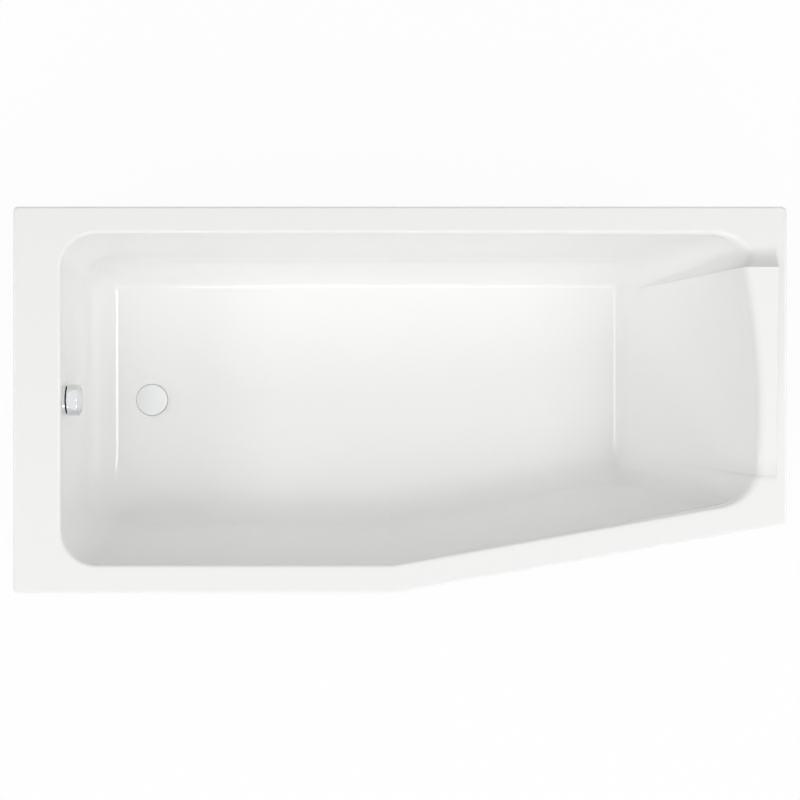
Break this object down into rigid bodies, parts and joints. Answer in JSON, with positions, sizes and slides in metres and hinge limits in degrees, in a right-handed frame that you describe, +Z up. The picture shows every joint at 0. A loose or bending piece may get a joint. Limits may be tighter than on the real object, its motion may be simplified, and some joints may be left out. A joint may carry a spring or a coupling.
{
  "type": "asymmetric bathtub",
  "caption": "Asymmetric acrylic bathtub with an angled front edge, raised headrest, knob-worked pop-up waste with overflow and trap, and levelling feet.",
  "frame": {"origin": "on the floor, under the middle of the rim's box", "axes": "+X from the foot end with the waste to the head end, +Y from the open front to the wall, +Z up"},
  "size_m": [1.6, 0.8, 0.618],
  "materials": {
    "white_acrylic": "polished white acrylic sheet",
    "glass_fibre": "sprayed glass-fibre laminate, rough",
    "chipboard": "raw chipboard",
    "pine": "planed softwood",
    "zinc_steel": "zinc plated",
    "black_plastic": "moulded, matt",
    "rubber": "matt",
    "chrome": "polished chrome plate",
    "grey_plastic": "moulded polypropylene, satin",
    "hose_plastic": "ribbed polyethylene, satin",
    "white_plastic": "moulded acetal"
  },
  "bodies": {
    "tub": {"bar_screws": "zinc_steel", "base_board": "chipboard", "batten_angled": "pine", "batten_foot": "pine", "batten_front": "pine", "batten_head": "pine", "batten_wall": "pine", "bracket_screws": "zinc_steel", "cable_clips": "black_plastic", "control_cable": "black_plastic", "fibreglass_backing": "glass_fibre", "foot_nuts": "zinc_steel", "hose_clamps": "zinc_steel", "leg_bar_foot_end": "zinc_steel", "leg_bar_head_end": "zinc_steel", "lever_pin": "zinc_steel", "outlet_elbow": "grey_plastic", "overflow_body": "grey_plastic", "overflow_flange": "chrome", "overflow_hose": "hose_plastic", "overflow_seal": "rubber", "trap_bend": "grey_plastic", "trap_cap": "grey_plastic", "trap_nuts": "grey_plastic", "trap_washers": "rubber", "tub_shell": "white_acrylic", "wall_brackets": "zinc_steel", "waste_body": "grey_plastic", "waste_flange": "chrome", "waste_seal_lower": "rubber", "waste_seal_upper": "rubber"},
    "knob": {"overflow_knob": "chrome", "knob_spindle": "zinc_steel", "cable_wheel": "white_plastic"},
    "plug": {"waste_plug": "chrome", "plug_seal": "rubber"},
    "lever": {"lift_lever": "white_plastic"},
    "foot_foot_end_front": {"foot_stud_foot_end_front": "zinc_steel", "foot_pad_foot_end_front": "black_plastic", "foot_sole_foot_end_front": "rubber"},
    "foot_foot_end_wall": {"foot_stud_foot_end_wall": "zinc_steel", "foot_pad_foot_end_wall": "black_plastic", "foot_sole_foot_end_wall": "rubber"},
    "foot_head_end_front": {"foot_stud_head_end_front": "zinc_steel", "foot_pad_head_end_front": "black_plastic", "foot_sole_head_end_front": "rubber"},
    "foot_head_end_wall": {"foot_stud_head_end_wall": "zinc_steel", "foot_pad_head_end_wall": "black_plastic", "foot_sole_head_end_wall": "rubber"}
  },
  "joints": [
    {"name": "knob_turn", "type": "hinge", "parent": "tub", "child": "knob", "pos_m": [-0.70027, 0, 0.54], "axis": [0.9996, 0, 0.0289], "range_deg": [0, 90]},
    {"name": "plug_lift", "type": "slide", "parent": "tub", "child": "plug", "axis": [0, 0, 1], "range_m": [0, 0.012]},
    {"name": "lever_swing", "type": "hinge", "parent": "tub", "child": "lever", "pos_m": [-0.592, 0, 0.126], "axis": [0, -1, 0], "range_deg": [0, 26.68]},
    {"name": "level_foot_end_front", "type": "slide", "parent": "tub", "child": "foot_foot_end_front", "axis": [0, 0, -1], "range_m": [0, 0.02]},
    {"name": "level_foot_end_wall", "type": "slide", "parent": "tub", "child": "foot_foot_end_wall", "axis": [0, 0, -1], "range_m": [0, 0.02]},
    {"name": "level_head_end_front", "type": "slide", "parent": "tub", "child": "foot_head_end_front", "axis": [0, 0, -1], "range_m": [0, 0.02]},
    {"name": "level_head_end_wall", "type": "slide", "parent": "tub", "child": "foot_head_end_wall", "axis": [0, 0, -1], "range_m": [0, 0.02]}
  ],
  "couplings": [
    {"joint": "plug_lift", "follows": "knob_turn", "m_per_rad": 0.0076394},
    {"joint": "lever_swing", "follows": "knob_turn", "ratio": 0.2965}
  ]
}
